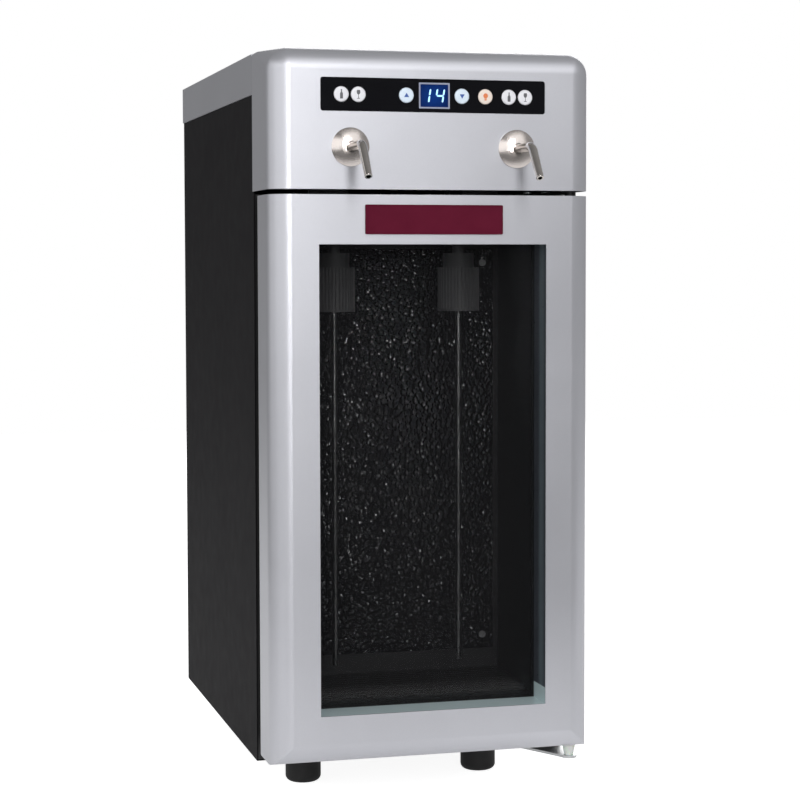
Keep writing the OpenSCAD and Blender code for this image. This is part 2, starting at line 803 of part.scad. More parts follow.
module spout(x) color(nickel) difference() {
    slope_l = spout_len - bend_run;
    tip_r = spout_tip_dia / 2;
    union() {
        rod_y(x, spout_z, front_y - spout_out + bend_run, front_y, spout_dia / 2);
        rod_y(x, spout_z, front_y - rosette_rim - rosette_dome + 1.2, front_y + stub_len, spout_stub_r);
        spout_arm(x) {
            sphere(spout_dia / 2 - 0.5);
            spout_elbow(spout_dia / 2);
            spout_slope() rotate_extrude() polygon(concat([[0, 0], [spout_dia / 2, 0]],
                [for (a = [0 : 22.5 : 90]) [tip_r - spout_lip + spout_lip * cos(a),
                    slope_l - spout_lip + spout_lip * sin(a)]], [[0, slope_l]]));
        }
    }
    rod_y(x, spout_z, front_y - spout_out + bend_run, front_y + stub_len + cut, spout_bore / 2);
    spout_arm(x) {
        sphere(spout_bore / 2 - 0.3);
        spout_elbow(spout_bore / 2);
        spout_slope() cylinder(h = slope_l + cut, r = spout_bore / 2);
    }
}

// ---------- drink and gas lines ----------

module valve(side) color([0.75, 0.72, 0.6]) {
    x0 = valve_in_x;
    mid_x = x0 + valve_w / 2;
    scale_x = side;
    low = side > 0 ? x0 : -x0 - valve_w;
    block([low, valve_front, deck_top_z], [low + valve_w, valve_back, deck_top_z + valve_h]);
    rod_z(scale_x * mid_x, (valve_front + valve_back) / 2, deck_top_z + valve_h - 0.5,
        deck_top_z + valve_h + coil_h, coil_r);
}

module wine_tubes() color([0.85, 0.85, 0.82])
    for (sx = [-1, 1]) difference() {
        rod_y(sx * spout_x, spout_z, front_y + stub_len, valve_front, wine_tube_r);
        rod_y(sx * spout_x, spout_z, front_y + stub_len - cut, valve_front + cut, spout_bore / 2);
    }

gas_port_z = deck_top_z + gas_port_up;
stub_top_z = deck_top_z + gas_stub_h;
gas_x = place_x - gas_stub_x;
gas_turn_run = 130;
gas_turn_step = 30;
gas_turn = [for (i = [0, 1]) manifold_back_y - manifold_d - gas_turn_run - i * gas_turn_step];
module gas_tubes() color([0.2, 0.35, 0.6]) {
    for (i = [0, 1]) {
        side = i == 0 ? -1 : 1;
        port_x = manifold_x + side * gas_port_gap;
        tube_run([[port_x, manifold_back_y - manifold_d, gas_port_z],
            [port_x, gas_turn[i], gas_port_z], [side * gas_x, gas_turn[i], gas_port_z],
            [side * gas_x, place_y, gas_port_z], [side * gas_x, place_y, stub_top_z]], gas_tube_r);
    }
}

module gas_manifold() color(steel) {
    x0 = manifold_x - manifold_w / 2;
    y0 = manifold_back_y - manifold_d;
    block([x0, y0, deck_top_z], [x0 + manifold_w, manifold_back_y, deck_top_z + manifold_h]);
    for (sx = [-1, 1])
        rod_z(manifold_x + sx * gas_port_gap, y0 + manifold_d / 2, deck_top_z + manifold_h - 0.5,
            deck_top_z + manifold_h + coil_h, 8);
}

module gas_inlet() color([0.78, 0.66, 0.36]) difference() {
    union() {
        rod_y(manifold_x, inlet_z, manifold_back_y, case_d + 1, inlet_dia / 2);
        rod_y(manifold_x, inlet_z, manifold_back_y, rear_inner_y, inlet_dia / 2 + 3);
        rod_y(manifold_x, inlet_z, case_d, case_d + inlet_flange_t, inlet_dia / 2 + 4);
        rod_y(manifold_x, inlet_z, case_d + inlet_flange_t - 0.5, case_d + rear_reach, inlet_dia / 2);
    }
    rod_y(manifold_x, inlet_z, manifold_back_y - cut, case_d + rear_reach + cut, inlet_dia / 4);
}

supply_x = -half_inner + 4;
supply_back_y = rear_inner_y - 20;
supply_z = case_floor_z + foot_nut_t + 2;
supply_wall = 1.5;
module power_supply() color(steel) {
    difference() {
        block([supply_x, supply_back_y - supply_d, supply_z],
            [supply_x + supply_w, supply_back_y, supply_z + supply_h]);
        block([supply_x + supply_wall, supply_back_y - supply_d + supply_wall, supply_z + supply_wall],
            [supply_x + supply_w - supply_wall, supply_back_y - supply_wall, supply_z + supply_h - supply_wall]);
        for (y = [14 : 10 : supply_d - 14])
            block([supply_x + 12, supply_back_y - y - 2, supply_z + supply_h - supply_wall - cut],
                [supply_x + supply_w - 12, supply_back_y - y + 2, supply_z + supply_h + cut]);
    }
    for (x = [6, supply_w - 6], y = [6, supply_d - 6])
        rod_z(supply_x + x, supply_back_y - y, case_floor_z, supply_z + 0.5, 4);
}

module mains_inlet() color(black_plastic) {
    difference() {
        union() {
            block([inlet_x - mains_w / 2, case_d - mains_d, mains_z - mains_h / 2],
                [inlet_x + mains_w / 2, case_d + 1, mains_z + mains_h / 2]);
            face_plate(inlet_x, mains_z, mains_flange_w, mains_flange_h, 3, case_d,
                case_d + mains_flange_t);
        }
        block([inlet_x - mains_w / 2 + socket_wall, case_d + mains_flange_t - socket_d,
            mains_z - mains_h / 2 + socket_wall],
            [inlet_x + mains_w / 2 - socket_wall, case_d + mains_flange_t + cut,
            mains_z + mains_h / 2 - socket_wall]);
    }
    for (dx = [-7, 0, 7])
        block([inlet_x + dx - 1, case_d + mains_flange_t - socket_d - 1, mains_z - 2 + (dx == 0 ? 2 : -1)],
            [inlet_x + dx + 1, case_d - 1, mains_z + 2 + (dx == 0 ? 2 : -1)]);
}

// ---------- docks and dispensing heads ----------

module dock(side) color(black_plastic) {
    x = side * place_x;
    difference() {
        union() {
            rod_z(x, place_y, dock_low_z, bay_roof_z, dock_dia / 2);
            rod_z(x, place_y, bay_roof_z - dock_flange_t, bay_roof_z, dock_flange_r);
            rod_z(x, place_y, bay_roof_z - 1, deck_top_z, dock_stub_r);
            rod_z(x - side * gas_stub_x, place_y, bay_roof_z - 1, stub_top_z, gas_stub_r);
        }
        rod_z(x, place_y, dock_low_z - cut, stem_top_z + stem_gap, stem_dia / 2 + run_gap);
        rod_z(x, place_y, dock_low_z, deck_top_z + cut, draw_dia / 2);
    }
}

module dispensing_head(side) color(black_plastic) {
    x = side * place_x;
    difference() {
        union() {
            rod_z(x, place_y, cap_low_z, cap_top_z, cap_dia / 2);
            rod_z(x, place_y, cap_top_z - 1, shoulder_top_z, shoulder_dia / 2);
            rod_z(x, place_y, shoulder_top_z - 1, stem_top_z, stem_dia / 2);
        }
        rod_z(x, place_y, cap_low_z - cut, cap_low_z + cap_bore_h, cap_bore / 2);
        rod_z(x, place_y, cap_low_z, stem_top_z + cut, draw_dia / 2);
        for (i = [0 : rib_n - 1])
            translate([x, case_front_y + place_y, cap_low_z + 2]) rotate([0, 0, i * 360 / rib_n])
                translate([cap_dia / 2 + 0.2, 0, 0]) cylinder(h = cap_h, r = 0.9, $fn = 16);
    }
}

module head_seal(side) color([0.25, 0.25, 0.27]) difference() {
    x = side * place_x;
    top = cap_low_z + cap_bore_h;
    rod_z(x, place_y, top - seal_t, top, cap_bore / 2);
    rod_z(x, place_y, top - seal_t - cut, top + cut, draw_dia / 2);
}

module draw_tube(side) color(steel) difference() {
    x = side * place_x;
    rod_z(x, place_y, draw_low_z, stem_top_z, draw_dia / 2);
    rod_z(x, place_y, draw_low_z - cut, stem_top_z + cut, draw_bore / 2);
}

// ---------- door ----------

// The door's outer form drawn in by t: two profiles that meet in a mitre
module door_form(t, top, back_y) {
    r = edge_r - t;
    low_r = door_low_r - t;
    half = half_front - t;
    front = front_y + t;
    low = door_low_z + t;
    intersection() {
        translate([0, case_front_y, low - cut]) linear_extrude(top - low + 2 * cut) {
            translate([-half, front + r]) square([2 * half, back_y - front - r]);
            translate([-half + r, front]) square([2 * (half - r), back_y - front]);
            for (sx = [-1, 1]) translate([sx * (half - r), front + r]) circle(r);
        }
        translate([-half_front - cut, case_front_y, 0]) rotate([90, 0, 90])
            linear_extrude(front_w + 2 * cut) {
            translate([front + low_r, low]) square([back_y - front - low_r, top - low]);
            translate([front, low + low_r]) square([back_y - front, top - low - low_r]);
            translate([front + low_r, low + low_r]) circle(low_r);
        }
    }
}

window = [half_window, window_low_z, window_top_z];
function grown(outline, by) = [outline[0] + by, outline[1] - by, outline[2] + by];

glass_y = front_y + reveal_d;
spacer_y = glass_y + pane_t;
inner_glass_y = spacer_y + pane_gap;
glazing_back_y = inner_glass_y + pane_t;
core_front_y = front_y + edge_r + skin_t;
core_back_y = -seal_d - 0.5;
pocket_gap = 0.2;
core_out = [half_front - skin_t - 0.2, door_low_z + skin_t + 0.2, door_top_z - 1.5];

module door_frame() color(silver) difference() {
    door_form(0, door_top_z, door_back_y);
    door_form(skin_t, door_top_z + cut, door_back_y + cut);
    block([-window[0], front_y - cut, window[1]], [window[0], front_y + skin_t + cut, window[2]]);
    rod_z(pin_x, pin_y, door_low_z - cut, door_low_z + skin_t + cut, pin_r + 1.5);
}

module window_trim() color([0.5, 0.54, 0.54])
    ring(grown(window, trim_t), window, front_y + skin_t, glass_y);

module door_inner_frame() color(black_plastic) difference() {
    block([-core_out[0], core_front_y, core_out[1]], [core_out[0], core_back_y, core_out[2]]);
    block([-window[0] - trim_t, core_front_y - cut, window[1] - trim_t],
        [window[0] + trim_t, core_back_y + cut, window[2] + trim_t]);
    block([-window[0] - pane_edge - pocket_gap, core_front_y - cut, window[1] - pane_edge - pocket_gap],
        [window[0] + pane_edge + pocket_gap, glazing_back_y, window[2] + pane_edge + pocket_gap]);
    rod_z(pin_x, pin_y, door_low_z - cut, door_low_z + pin_in_door + 1, pin_r + run_gap);
    rod_z(pin_x, pin_y, door_top_z - pin_in_door - 1, door_top_z + cut, pin_r + run_gap);
}

pane = grown(window, pane_edge);
module outer_glass() color([0.2, 0.24, 0.26, 0.4])
    block([-pane[0], glass_y, pane[1]], [pane[0], spacer_y, pane[2]]);

module inner_glass() color([0.2, 0.24, 0.26, 0.4])
    block([-pane[0], inner_glass_y, pane[1]], [pane[0], glazing_back_y, pane[2]]);

module glass_spacer() color([0.12, 0.12, 0.13])
    ring(pane, grown(window, 2), spacer_y, inner_glass_y);

seal_in = 5;
seal_out = [half_front - seal_in, door_low_z + seal_in - 1, door_top_z - seal_in + 1];
seal_lip = 2.5;
module door_gasket() color([0.06, 0.06, 0.06]) {
    ring(seal_out, grown(seal_out, -seal_w), core_back_y, core_back_y + seal_d * 0.4);
    ring(grown(seal_out, -seal_lip), grown(seal_out, -seal_w + seal_lip),
        core_back_y + seal_d * 0.4 - 0.5, core_back_y + seal_d);
}

badge_z = door_top_z - rail_w / 2;
badge_t = 0.8;
badge_rim = 1;
module badge_plate() color([0.35, 0.08, 0.16]) difference() {
    face_plate(0, badge_z, badge_w, badge_h, 1, front_y - badge_t - 0.4, front_y);
    face_plate(0, badge_z, badge_w - 2 * badge_rim, badge_h - 2 * badge_rim, 0.5,
        front_y - badge_t - 0.4 - cut, front_y - badge_t);
}

// ---------- fasteners ----------

module pan_screw_y(x, z, y, r, l) {
    rod_y(x, z, y, y + 1.8, 2 * r);
    rod_y(x, z, y - l, y + 0.5, r);
}

module fasteners() color(steel) {
    for (p = panel_screw_points)
        rod_y(p[0], p[1], case_d, case_d + 1.8, 3.5);
    for (p = plate_screw_points)
        rod_y(p[0], p[1], bay_d - plate_t - 1.6, bay_d - plate_t, 3);
    for (p = foot_points) {
        rod_z(p[0], p[1], foot_recess_h - 3, foot_recess_h, 4.2);
        rod_z(p[0], p[1], foot_recess_h - 1, case_floor_z, foot_screw_r);
        rod_z(p[0], p[1], case_floor_z, case_floor_z + foot_nut_t, foot_nut_r);
    }
    for (p = lower_hinge_screws) {
        rod_z(p[0], p[1], case_low_z - hinge_t - 2.2, case_low_z - hinge_t, 4);
        rod_z(p[0], p[1], case_low_z - hinge_t - 1, case_floor_z, hinge_screw_r);
    }
    for (p = upper_hinge_screws) {
        rod_z(p[0], p[1], deck_top_z + upper_hinge_t, deck_top_z + upper_hinge_t + 2, 3.8);
        rod_z(p[0], p[1], deck_top_z, deck_top_z + upper_hinge_t + 1, hinge_screw_r);
    }
    for (sx = [-1, 1]) difference() {
        rod_y(sx * spout_x, spout_z, front_y + skin_t, front_y + skin_t + spout_nut_t, spout_nut_r);
        rod_y(sx * spout_x, spout_z, front_y, front_y + skin_t + spout_nut_t + cut, spout_stub_r);
    }
}

// ---------- nodes ----------

outer_case();
top_cover();
rear_panel();
top_deck();
compartment_liner();
insulation();
floor_mat();
cold_plate();
cold_block();
cooling_module();
hot_sink();
fan_frame();
fan_rotor();
light_strip();
head_cover();
head_floor();
control_fascia();
display_frame();
display_lens();
control_board();
push_button(button_x[0]);  // left_bottle_button
push_button(button_x[1]);  // left_glass_button
push_button(button_x[2]);  // temperature_up_button
push_button(button_x[3]);  // temperature_down_button
push_button(button_x[4]);  // light_button
push_button(button_x[5]);  // right_bottle_button
push_button(button_x[6]);  // right_glass_button
rosette(-spout_x);  // left_rosette
rosette(spout_x);  // right_rosette
spout(-spout_x);  // left_spout
spout(spout_x);  // right_spout
valve(-1);  // left_valve
valve(1);  // right_valve
wine_tubes();
gas_tubes();
gas_manifold();
gas_inlet();
power_supply();
mains_inlet();
dock(-1);  // left_dock
dock(1);  // right_dock
dispensing_head(-1);  // left_head
dispensing_head(1);  // right_head
head_seal(-1);  // left_seal
head_seal(1);  // right_seal
draw_tube(-1);  // left_draw_tube
draw_tube(1);  // right_draw_tube
door_frame();
window_trim();
door_inner_frame();
outer_glass();
inner_glass();
glass_spacer();
door_gasket();
badge_plate();
upper_hinge();
lower_hinge();
hinge_bushing();
feet();
fasteners();
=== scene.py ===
import math

import bmesh
import bpy
import numpy as np
from mathutils import Matrix, Vector
from mathutils.geometry import tessellate_polygon


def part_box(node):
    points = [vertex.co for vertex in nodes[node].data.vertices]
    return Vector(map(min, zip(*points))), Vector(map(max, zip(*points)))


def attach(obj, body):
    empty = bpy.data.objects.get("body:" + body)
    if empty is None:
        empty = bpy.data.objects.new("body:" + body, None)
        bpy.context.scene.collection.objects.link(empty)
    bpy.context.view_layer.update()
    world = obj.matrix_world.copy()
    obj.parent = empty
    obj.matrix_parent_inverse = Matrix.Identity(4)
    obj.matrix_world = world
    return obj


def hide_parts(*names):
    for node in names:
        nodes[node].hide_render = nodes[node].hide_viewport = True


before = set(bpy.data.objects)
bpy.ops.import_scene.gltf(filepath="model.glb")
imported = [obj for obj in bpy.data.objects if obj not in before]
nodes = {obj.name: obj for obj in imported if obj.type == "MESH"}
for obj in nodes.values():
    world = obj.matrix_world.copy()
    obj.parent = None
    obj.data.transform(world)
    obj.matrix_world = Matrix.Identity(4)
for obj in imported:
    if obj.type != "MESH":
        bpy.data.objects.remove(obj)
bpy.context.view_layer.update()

mm = 0.001


# ---------------------------------------------------------------- the view
# The cabinet is seen from its left front, a little above the middle of the
# door, with a long lens, so that its upright edges stay nearly parallel.

case_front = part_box("outer_case")[0][1]
camera_place = Vector((-0.4442, case_front - 1.6207, 0.4376))
camera_yaw, camera_pitch, camera_roll = 15.02, 3.33, -0.12
picture_side, rows_up = 800, 17
camera_data = bpy.data.cameras.new("camera")
camera_data.lens = 92.5
camera_data.sensor_width = 36
camera_data.shift_y = -rows_up / picture_side
camera = bpy.data.objects.new("camera", camera_data)
turn = (Matrix.Rotation(math.radians(-camera_yaw), 4, "Z")
        @ Matrix.Rotation(math.radians(90 - camera_pitch), 4, "X")
        @ Matrix.Rotation(math.radians(camera_roll), 4, "Z"))
camera.matrix_world = Matrix.Translation(camera_place) @ turn
bpy.context.scene.collection.objects.link(camera)
bpy.context.scene.camera = camera
bpy.context.scene.view_settings.view_transform = "Standard"


# ---------------------------------------------------------------- case
# A folded sheet-steel body with a screwed rear panel, both in a satin black
# powder coat whose fine orange peel only shows where light grazes it.


class Wire:
    """A value in a node tree. Each operator adds the Math node it names."""

    def __init__(self, owner, socket):
        self.owner = owner
        self.socket = socket

    def _math(self, operation, first, second=None):
        sockets = {0: first} if second is None else {0: first, 1: second}
        return self.owner.node("ShaderNodeMath", {"operation": operation}, sockets)

    def __add__(self, other): return self._math("ADD", self, other)
    def __radd__(self, other): return self._math("ADD", other, self)
    def __sub__(self, other): return self._math("SUBTRACT", self, other)
    def __rsub__(self, other): return self._math("SUBTRACT", other, self)
    def __mul__(self, other): return self._math("MULTIPLY", self, other)
    def __rmul__(self, other): return self._math("MULTIPLY", other, self)
    def __pow__(self, other): return self._math("POWER", self, other)
    def __gt__(self, other): return self._math("GREATER_THAN", self, other)
    def __abs__(self): return self._math("ABSOLUTE", self)
    def highest(self, other): return self._math("MAXIMUM", self, other)


class Nodes:
    """A node tree that grows by one method: a node, its settings and its sockets."""

    def __init__(self, tree):
        self.tree = tree

    def node(self, kind, settings, sockets, out=0):
        """Adds a node, with its settings first and then its sockets' values or links."""
        new = self.tree.nodes.new(kind)
        for name, value in settings.items():
            setattr(new, name, value)
        for key, value in sockets.items():
            if isinstance(value, Wire):
                self.tree.links.new(value.socket, new.inputs[key])
            else:
                new.inputs[key].default_value = value
        return Wire(self, new.outputs[out]) if len(new.outputs) else None

    def place(self, stretch=(1.0, 1.0, 1.0), centre=(0.0, 0.0, 0.0)):
        """The point on the piece, in metres, seen from a centre and stretched."""
        here = self.node("ShaderNodeTexCoord", {}, {}, "Object")
        moved = self.node("ShaderNodeVectorMath", {"operation": "SUBTRACT"}, {0: here, 1: centre})
        return self.node("ShaderNodeMapping", {}, {"Vector": moved, "Scale": stretch})

    def noise(self, scale, detail=2.0, place=None, out="Fac"):
        """Soft noise from 0 to 1, with its cells 1/scale metres wide."""
        return self.node("ShaderNodeTexNoise", {}, {
            "Vector": place or self.place(), "Scale": scale, "Detail": detail}, out)

    def between(self, low, high, amount):
        """A colour from low to high as the amount goes from 0 to 1."""
        return self.node("ShaderNodeMix", {"data_type": "RGBA"}, {
            0: amount, 6: (*low, 1.0) if isinstance(low, tuple) else low,
            7: (*high, 1.0) if isinstance(high, tuple) else high}, 2)

    def spread(self, value, low, high):
        """A value stretched so that low becomes 0 and high becomes 1, held in that range."""
        return self.node("ShaderNodeMapRange", {"clamp": True}, {
            "Value": value, "From Min": low, "From Max": high})

    def length(self, vector):
        """How long a vector is."""
        return self.node("ShaderNodeVectorMath", {"operation": "LENGTH"}, {0: vector}, "Value")


class Finish(Nodes):
    """One finish: a Principled shader with its constants, and the nodes that vary it."""

    def __init__(self, name, **constants):
        self.material = bpy.data.materials.new(name)
        self.material.use_nodes = True
        super().__init__(self.material.node_tree)
        self.shader = self.tree.nodes["Principled BSDF"]
        for socket, value in constants.items():
            self.set(socket.replace("_", " "), value)

    def set(self, socket, value):
        """Puts a number, a colour or a wire into one of the shader's sockets."""
        if isinstance(value, Wire):
            self.tree.links.new(value.socket, self.shader.inputs[socket])
        else:
            self.shader.inputs[socket].default_value = value

    def tint(self, low, high, amount):
        """Lets the base colour go from low to high as the amount goes from 0 to 1."""
        self.set("Base Color", self.between(low, high, amount))

    def relief(self, height, depth, strength=1.0):
        """Turns a height from 0 to 1 into a relief that is depth metres deep."""
        self.set("Normal", self.node("ShaderNodeBump", {}, {
            "Height": height, "Distance": depth, "Strength": strength}, "Normal"))

    def on(self, *names):
        """Gives the finish to CAD nodes, by name, or to new pieces."""
        for name in names:
            piece = nodes[name] if isinstance(name, str) else name
            piece.data.materials.clear()
            piece.data.materials.append(self.material)


powder_coat = Finish("powder_coat", Specular_IOR_Level=0.06)
powder_coat.tint((0.0105, 0.0098, 0.0112), (0.0155, 0.0146, 0.0162), powder_coat.noise(14, 3))
powder_coat.set("Roughness", 0.60 + 0.14 * powder_coat.noise(60, 4))
powder_coat.relief(powder_coat.noise(1400, 3), 0.12 * mm, 0.5)
powder_coat.on("outer_case", "rear_panel")


# ---------------------------------------------------------------- top cover
# A silver sheet folded over the black sides. Its paint is the same satin
# metallic as the front's, a shade darker: fine flake under a thin clear coat.


def silver_paint(name, low, high, roughness):
    """Satin metallic paint: flake noise in colour and relief, soft clouds in gloss."""
    paint = Finish(name, Metallic=0.72)
    flake = paint.noise(5200, 1)
    cloud = paint.noise(9, 3)
    paint.tint(low, high, paint.spread(0.65 * flake + 0.35 * cloud, 0.3, 0.7))
    paint.set("Roughness", roughness - 0.04 + 0.08 * cloud)
    paint.relief(flake, 0.03 * mm, 0.5)
    return paint


cover_paint = silver_paint("cover_paint", (0.465, 0.470, 0.505), (0.545, 0.550, 0.588), 0.42)
cover_paint.on("top_cover")


# ---------------------------------------------------------------- feet
# Moulded rubber feet, each held by one screw up a recess. The same dull
# rubber, a little uneven in its grey, makes the floor mat and the seals.

rubber = Finish("rubber", Roughness=0.62, Specular_IOR_Level=0.35)
rubber.tint((0.008, 0.008, 0.009), (0.022, 0.021, 0.021), rubber.noise(90, 4))
rubber.relief(rubber.noise(1800, 2), 0.1 * mm, 0.4)
rubber.on("feet", "floor_mat", "left_seal", "right_seal", "door_gasket")


# ---------------------------------------------------------------- hinges
# A zinc-plated plate under the case carries the door's lower pin and a pale
# nylon bushing. The upper plate is black and hides in the gap.

zinc = Finish("zinc_plate", Metallic=0.9)
zinc_grain = zinc.noise(160, 3, zinc.place((1.0, 14.0, 1.0)))
zinc.tint((0.42, 0.43, 0.44), (0.66, 0.67, 0.67), zinc_grain)
zinc.set("Roughness", 0.26 + 0.2 * zinc_grain)
zinc.relief(zinc_grain, 0.04 * mm, 0.5)
zinc.on("lower_hinge", "fasteners", "power_supply")

nylon = Finish("nylon", Roughness=0.4, Subsurface_Weight=0.25, Subsurface_Scale=2 * mm)
nylon.tint((0.72, 0.76, 0.71), (0.83, 0.85, 0.82), nylon.noise(220, 2))
nylon.on("hinge_bushing")

moulded_black = Finish("moulded_black")
moulded_black.tint((0.011, 0.011, 0.012), (0.020, 0.020, 0.021), moulded_black.noise(35, 3))
moulded_black.set("Roughness", 0.42 + 0.14 * moulded_black.noise(500, 2))
moulded_black.relief(moulded_black.noise(2600, 2), 0.06 * mm, 0.5)
moulded_black.on("upper_hinge", "compartment_liner", "left_dock", "right_dock",
                 "door_inner_frame", "head_floor", "fan_frame", "fan_rotor",
                 "mains_inlet")


# ---------------------------------------------------------------- bay
# A black moulded liner, chilled from the back by an embossed aluminium plate
# whose pebbled relief throws small hard glints, helped by pale painted glints
# on the pebbles' tips. A diffusing light bar crosses the roof.

embossed = Finish("embossed_aluminium", Metallic=1.0)
wander_size = 1.5 * mm
wander = embossed.node("ShaderNodeVectorMath", {"operation": "SCALE"}, {
    0: embossed.noise(120, 1, out="Color"), "Scale": wander_size})
pebble_place = embossed.node("ShaderNodeVectorMath", {"operation": "ADD"}, {
    0: embossed.place(), 1: wander})
pebble = embossed.node("ShaderNodeTexVoronoi", {"feature": "F1"}, {
    "Vector": pebble_place, "Scale": 250.0}, "Distance")
# Pale spots on the pebbles' tips are painted glints; the relief makes the rest.
painted_glint = embossed.spread(pebble, 0.30, 0.16) * embossed.spread(embossed.noise(420, 1), 0.40, 0.60)
embossed.tint((0.026, 0.027, 0.029), (0.70, 0.71, 0.72), painted_glint)
embossed.set("Roughness", 0.10 + 0.16 * painted_glint)
embossed.relief(pebble ** 2 * (0.5 + embossed.noise(300, 2)), 2.1 * mm)
embossed.on("cold_plate")

diffuser = Finish("diffuser", Roughness=0.35, Emission_Color=(0.9, 0.95, 1.0, 1.0),
                  Emission_Strength=0.25)
diffuser.tint((0.74, 0.75, 0.74), (0.86, 0.87, 0.86), diffuser.noise(70, 2))
diffuser.on("light_strip")


# ---------------------------------------------------------------- cooling and supply
# Behind and above the bay: cut foam, an aluminium block, the ceramic module,
# a finned sink, the switch board, valves and tubes. From outside, only the
# brass gas inlet and an edge of the deck over the bay are seen; the deck is
# coloured near-black as painted shade for the gap.

foam = Finish("cut_foam", Roughness=0.9)
foam_cell = foam.noise(900, 3)
foam.tint((0.62, 0.54, 0.33), (0.78, 0.71, 0.50), foam_cell)
foam.relief(foam_cell, 0.4 * mm, 0.6)
foam.on("insulation")

aluminium = Finish("milled_aluminium", Metallic=1.0)
mill_line = aluminium.noise(90, 2, aluminium.place((1.0, 1.0, 30.0)))
aluminium.tint((0.50, 0.51, 0.52), (0.68, 0.69, 0.70), mill_line)
aluminium.set("Roughness", 0.25 + 0.2 * mill_line)
aluminium.relief(mill_line, 0.05 * mm, 0.4)
aluminium.on("cold_block", "hot_sink", "gas_manifold")

# The deck's near-black colour is painted shade for the gap over the bay.
deck_shade_black = Finish("deck_painted_shade", Roughness=0.42, Metallic=0.8)
deck_shade_black.tint((0.014, 0.014, 0.016), (0.026, 0.026, 0.028), deck_shade_black.noise(50, 3))
deck_shade_black.on("top_deck")

ceramic = Finish("ceramic", Roughness=0.5)
ceramic.tint((0.78, 0.78, 0.76), (0.88, 0.88, 0.86), ceramic.noise(300, 2))
ceramic.on("cooling_module")

circuit = Finish("circuit_board", Roughness=0.35)
circuit.tint((0.015, 0.09, 0.045), (0.03, 0.16, 0.08),
             circuit.spread(circuit.noise(420, 1), 0.45, 0.55))
circuit.on("control_board")

valve_plastic = Finish("valve_plastic", Roughness=0.45)
valve_plastic.tint((0.014, 0.014, 0.016), (0.030, 0.030, 0.032), valve_plastic.noise(60, 2))
valve_plastic.on("left_valve", "right_valve")

hose = Finish("hose", Roughness=0.35)
hose.tint((0.13, 0.26, 0.50), (0.20, 0.36, 0.62), hose.noise(80, 2))
hose.on("wine_tubes", "gas_tubes")

brass = Finish("brass", Metallic=1.0)
turning_line = brass.noise(60, 1, brass.place((1.0, 60.0, 1.0)))
brass.tint((0.62, 0.45, 0.19), (0.78, 0.60, 0.30), turning_line)
brass.set("Roughness", 0.22 + 0.18 * turning_line)
brass.on("gas_inlet")


# ---------------------------------------------------------------- head cover
# One pressed silver shell: square along its sides at the back, its upper side
# edges round off towards the front, where the whole edge turns over. It is
# open below and behind, and cut for the control strip and the two spouts.

head_low_corner, head_high_corner = (np.array(c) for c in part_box("head_cover"))
strip_low, strip_high = (np.array(c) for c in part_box("control_fascia"))
rosette_boxes = [[np.array(c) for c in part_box(side + "_rosette")] for side in ("left", "right")]
head_half = head_high_corner[0]
head_front, head_back = head_low_corner[1], head_high_corner[1]
head_low, head_top = head_low_corner[2], head_high_corner[2]
head_round = 17 * mm
least_round = 1.6 * mm
square_back = head_back - 15.6 * mm
skin = 1.2 * mm
side_steps, turn_steps = 10, 19
cut_wide, cut_high, cut_corner = 182 * mm, 26 * mm, 2 * mm
spout_hole = 4.5 * mm


def at_depth(outline, y):
    """An outline of x and z, stood upright at depth y."""
    return np.column_stack([outline[:, 0], np.full(len(outline), y), outline[:, 1]])


def head_section(y, inset, corner, arc_steps=14):
    """One upright loop over the head at depth y: sides, top and two arcs of the corner radius."""
    half = head_half - inset
    top = head_top - inset
    sweep = np.linspace(0, np.pi / 2, arc_steps)
    left = np.column_stack([-half + corner - corner * np.cos(sweep),
                            top - corner + corner * np.sin(sweep)])
    right = np.column_stack([-left[::-1, 0], left[::-1, 1]])
    loop = np.vstack([[[-half, head_low]], left, right, [[half, head_low]]])
    return at_depth(loop, y)


def split_normals(mesh):
    """The points' wanted normals as one for each face corner, on both sides of a wall.
    A corner whose face lies across its wanted normal keeps the face's own."""
    wanted = np.empty(3 * len(mesh.vertices))
    mesh.attributes["facing"].data.foreach_get("vector", wanted)
    mesh.attributes.remove(mesh.attributes["facing"])
    corner = np.empty(len(mesh.loops), int)
    mesh.loops.foreach_get("vertex_index", corner)
    side, size = np.empty(3 * len(mesh.polygons)), np.empty(len(mesh.polygons), int)
    mesh.polygons.foreach_get("normal", side)
    mesh.polygons.foreach_get("loop_total", size)
    side = np.repeat(side.reshape(-1, 3), size, 0)
    wanted = wanted.reshape(-1, 3)[corner]
    agree = np.sum(side * wanted, 1)[:, None]
    along_face = 0.6
    return np.where(agree > along_face, wanted, np.where(agree < -along_face, -wanted, side))


def mesh_piece(name, points, faces, body, facing=None, sharp_from=35.0):
    """Makes a closed mesh from arrays: doubles merged, faces turned outwards. The
    points' own normals, where they are given, shade it on both sides of its wall."""
    mesh = bpy.data.meshes.new(name)
    mesh.from_pydata(np.asarray(points).tolist(), [], [list(map(int, f)) for f in faces])
    if facing is not None:
        mesh.attributes.new("facing", "FLOAT_VECTOR", "POINT").data.foreach_set(
            "vector", np.ravel(facing))
    same_point, no_length = 2e-6, 1e-7
    work = bmesh.new()
    work.from_mesh(mesh)
    bmesh.ops.remove_doubles(work, verts=work.verts, dist=same_point)
    bmesh.ops.dissolve_degenerate(work, edges=work.edges, dist=no_length)
    bmesh.ops.recalc_face_normals(work, faces=work.faces)
    work.to_mesh(mesh)
    work.free()
    mesh.shade_smooth()
    if facing is None:
        mesh.set_sharp_from_angle(angle=math.radians(sharp_from))
    else:
        mesh.normals_split_custom_set(split_normals(mesh).tolist())
    piece = bpy.data.objects.new(name, mesh)
    bpy.context.scene.collection.objects.link(piece)
    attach(piece, body)
    return piece


